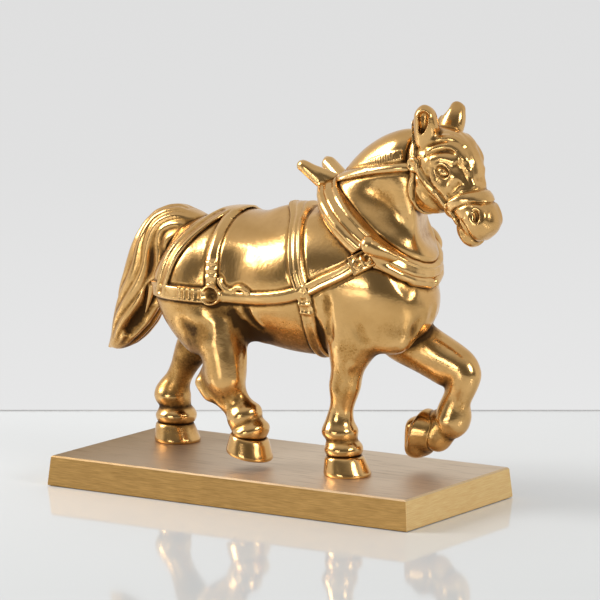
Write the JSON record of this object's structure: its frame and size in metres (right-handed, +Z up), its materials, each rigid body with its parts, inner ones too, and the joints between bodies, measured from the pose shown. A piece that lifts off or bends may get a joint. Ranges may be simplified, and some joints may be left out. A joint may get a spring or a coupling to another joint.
{
  "type": "horse statuette",
  "caption": "Cast bronze draft horse in collar harness and bridle, walking with a foreleg lifted, on a flat rectangular base with a felt underside; a shelf or desk ornament.",
  "frame": {"origin": "centre of the felt underside of the base, where it rests on a table", "axes": "+X the way the horse walks, +Y the horse's left side, +Z up"},
  "size_m": [0.2486, 0.105, 0.2099],
  "materials": {
    "cast_bronze": "polished",
    "harness_bronze": "polished",
    "pin_brass": "machined",
    "brushed_base": "brushed",
    "felt": "matte",
    "steel": "satin"
  },
  "bodies": {
    "root": {"base_plate": "brushed_base", "base_felt": "felt", "base_screws": "steel", "screw_washers": "steel", "trunk": "cast_bronze", "core_plug": "cast_bronze", "neck": "cast_bronze", "head": "cast_bronze", "tail": "cast_bronze", "right_foreleg": "cast_bronze", "left_foreleg": "cast_bronze", "right_hindleg": "cast_bronze", "left_hindleg": "cast_bronze", "right_fore_hoof": "cast_bronze", "left_fore_hoof": "cast_bronze", "right_hind_hoof": "cast_bronze", "left_hind_hoof": "cast_bronze", "leg_dowels": "pin_brass", "hoof_dowels": "pin_brass", "neck_dowels": "pin_brass", "tail_dowel": "pin_brass", "collar": "harness_bronze", "right_hame": "harness_bronze", "left_hame": "harness_bronze", "right_tug_plate": "harness_bronze", "left_tug_plate": "harness_bronze", "right_trace": "harness_bronze", "left_trace": "harness_bronze", "back_band": "harness_bronze", "girth": "harness_bronze", "breeching": "harness_bronze", "right_ring": "harness_bronze", "left_ring": "harness_bronze", "right_hip_strap": "harness_bronze", "left_hip_strap": "harness_bronze", "right_rear_strap": "harness_bronze", "left_rear_strap": "harness_bronze", "croup_pad": "harness_bronze", "crown_strap": "harness_bronze", "right_cheek_strap": "harness_bronze", "left_cheek_strap": "harness_bronze", "noseband": "harness_bronze", "throat_latch": "harness_bronze", "right_rosette": "harness_bronze", "left_rosette": "harness_bronze", "right_rein": "harness_bronze", "left_rein": "harness_bronze", "right_bit_ring": "harness_bronze", "left_bit_ring": "harness_bronze"}
  },
  "joints": []
}
